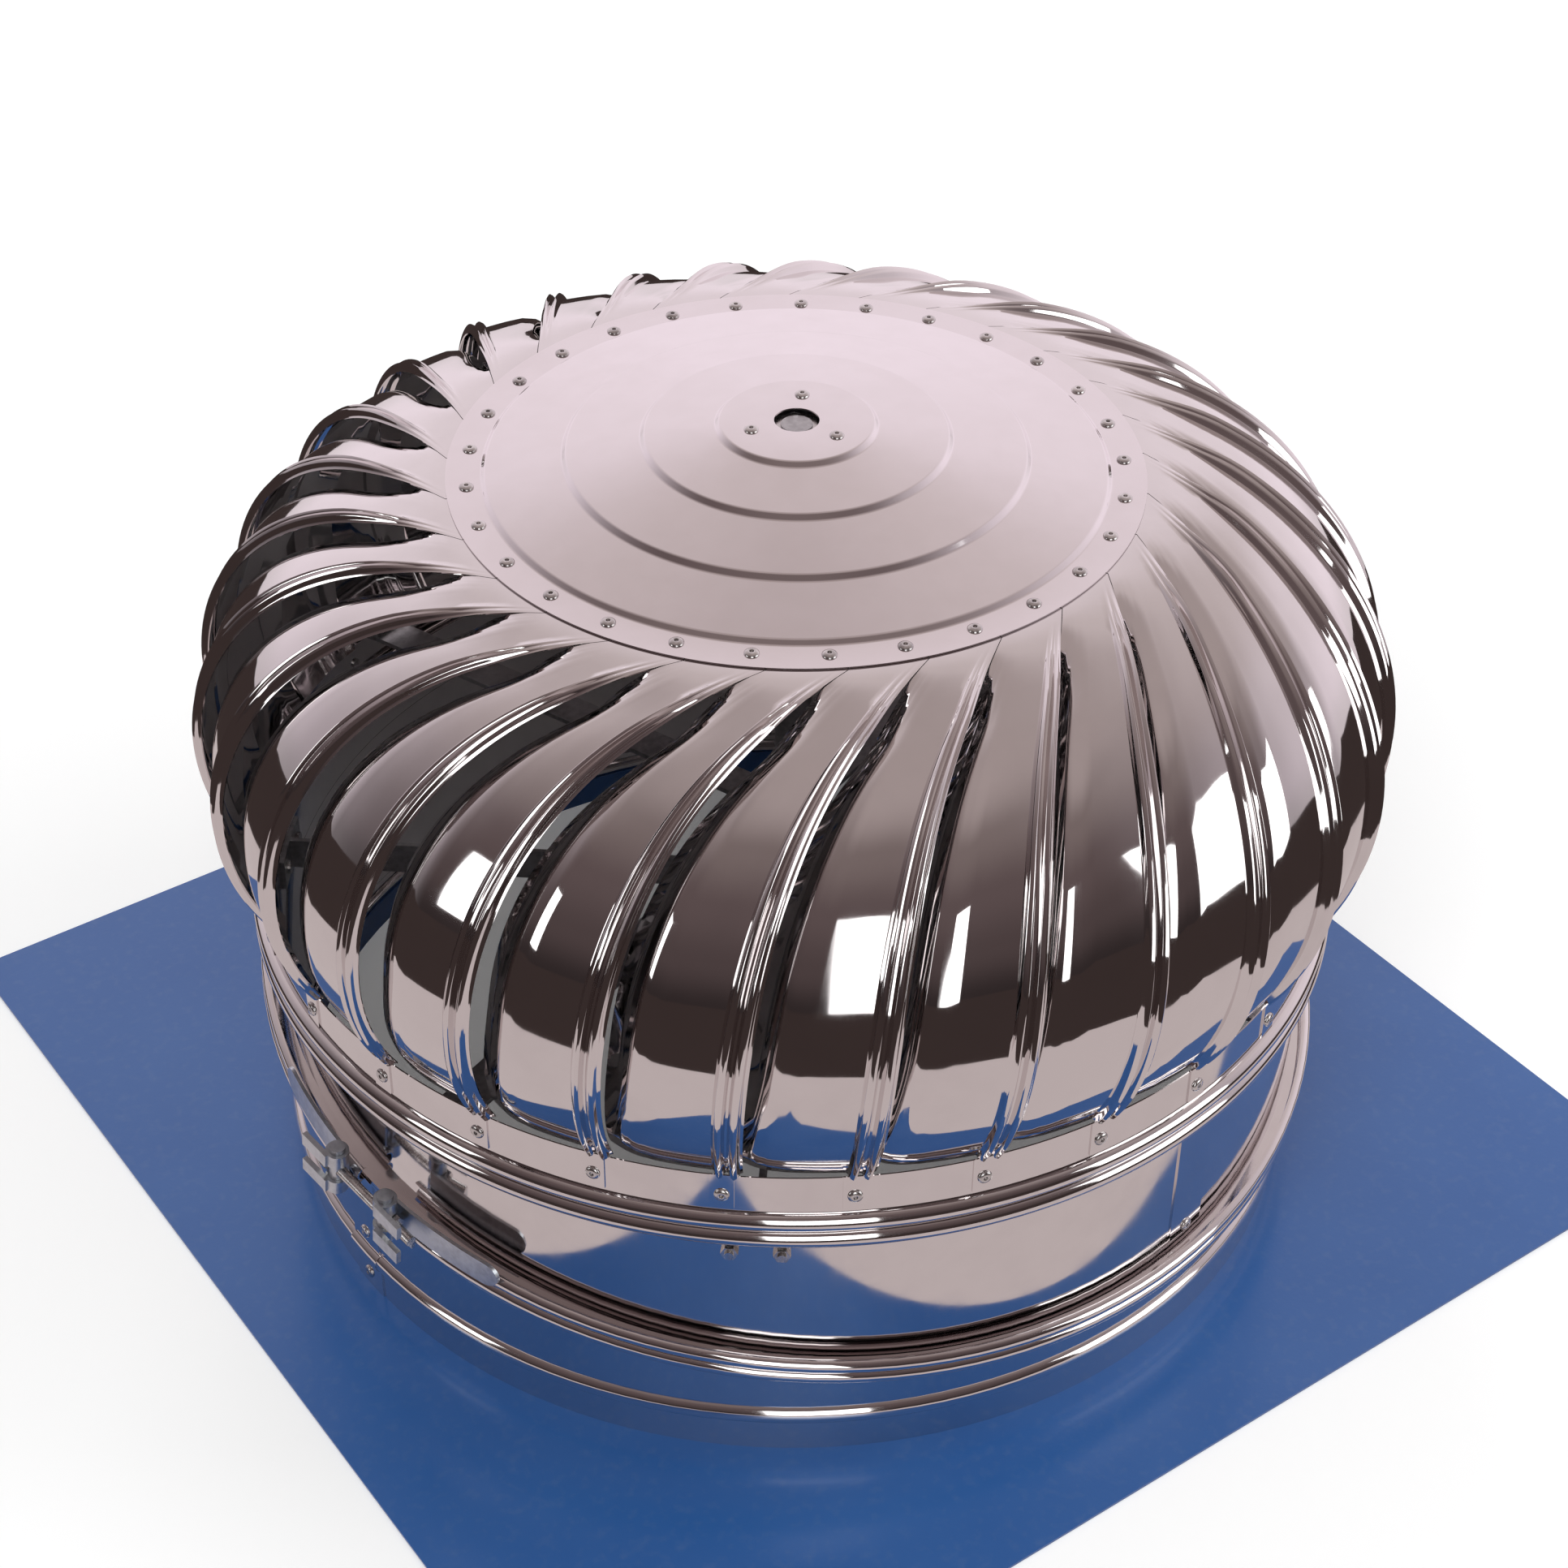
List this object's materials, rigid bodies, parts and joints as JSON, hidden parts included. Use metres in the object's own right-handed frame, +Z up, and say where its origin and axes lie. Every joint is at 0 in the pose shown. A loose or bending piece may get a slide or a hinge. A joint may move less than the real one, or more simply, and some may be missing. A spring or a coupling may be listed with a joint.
{
  "type": "roof turbine ventilator",
  "caption": "Wind-driven roof ventilator: a stepped cap and swirled curved vanes spin on a spindle above a round throat with a slanted, clamped joint and a square blue flashing plate.",
  "frame": {"origin": "centre of the underside of the square plate, on the throat axis", "axes": "+Z up along the spindle, X and Y along the plate edges; the slanted joint is lowest near -Y"},
  "size_m": [0.75, 0.75, 0.4679],
  "materials": {
    "blue_sheet": "glossy blue paint on sheet",
    "vane_steel": "mirror polished stainless sheet",
    "cap_steel": "mirror polished stainless sheet",
    "sheet_steel": "mirror polished stainless sheet",
    "latch_zinc": "dull zinc plate",
    "fastener_steel": "bright",
    "bearing_steel": "ground",
    "cage_brass": "pressed",
    "structure_steel": "satin"
  },
  "bodies": {
    "base": {"base_plate": "blue_sheet", "base_collar": "sheet_steel", "collar_rivets": "fastener_steel", "clamp_band": "sheet_steel", "latch_strap_left": "latch_zinc", "latch_strap_right": "latch_zinc", "latch_trunnions": "latch_zinc", "latch_bolt": "latch_zinc", "latch_nut": "latch_zinc"},
    "neck": {"neck_ring": "sheet_steel", "neck_rivets": "fastener_steel", "neck_cross": "structure_steel", "neck_screws": "fastener_steel", "spindle": "structure_steel", "spindle_nuts": "fastener_steel", "upper_inner_race": "bearing_steel", "lower_inner_race": "bearing_steel"},
    "rotor": {"top_cap": "cap_steel", "cap_rivets": "fastener_steel", "hub_housing": "structure_steel", "hub_rivets": "fastener_steel", "rotor_band": "sheet_steel", "band_rivets": "fastener_steel", "rotor_cross": "structure_steel", "upper_outer_race": "bearing_steel", "lower_outer_race": "bearing_steel", "vane_01": "vane_steel", "vane_02": "vane_steel", "vane_03": "vane_steel", "vane_04": "vane_steel", "vane_05": "vane_steel", "vane_06": "vane_steel", "vane_07": "vane_steel", "vane_08": "vane_steel", "vane_09": "vane_steel", "vane_10": "vane_steel", "vane_11": "vane_steel", "vane_12": "vane_steel", "vane_13": "vane_steel", "vane_14": "vane_steel", "vane_15": "vane_steel", "vane_16": "vane_steel", "vane_17": "vane_steel", "vane_18": "vane_steel", "vane_19": "vane_steel", "vane_20": "vane_steel", "vane_21": "vane_steel", "vane_22": "vane_steel", "vane_23": "vane_steel", "vane_24": "vane_steel", "vane_25": "vane_steel", "vane_26": "vane_steel", "vane_27": "vane_steel", "vane_28": "vane_steel", "vane_29": "vane_steel"},
    "upper_ball_row": {"upper_balls": "bearing_steel", "upper_cage": "cage_brass"},
    "lower_ball_row": {"lower_balls": "bearing_steel", "lower_cage": "cage_brass"}
  },
  "joints": [
    {"name": "pitch_swivel", "type": "hinge", "parent": "base", "child": "neck", "pos_m": [0, 0, 0.106], "axis": [0.0145, -0.1384, 0.9903], "range_deg": [-180, 40]},
    {"name": "rotor_spin", "type": "hinge", "parent": "neck", "child": "rotor", "pos_m": [0, 0, 0.3], "axis": [0, 0, 1], "continuous": true},
    {"name": "upper_ball_row_turn", "type": "hinge", "parent": "neck", "child": "upper_ball_row", "pos_m": [0, 0, 0.449], "axis": [0, 0, 1], "continuous": true},
    {"name": "lower_ball_row_turn", "type": "hinge", "parent": "neck", "child": "lower_ball_row", "pos_m": [0, 0, 0.204], "axis": [0, 0, 1], "continuous": true}
  ],
  "couplings": [
    {"joint": "upper_ball_row_turn", "follows": "rotor_spin", "ratio": 0.60351},
    {"joint": "lower_ball_row_turn", "follows": "rotor_spin", "ratio": 0.60351}
  ]
}
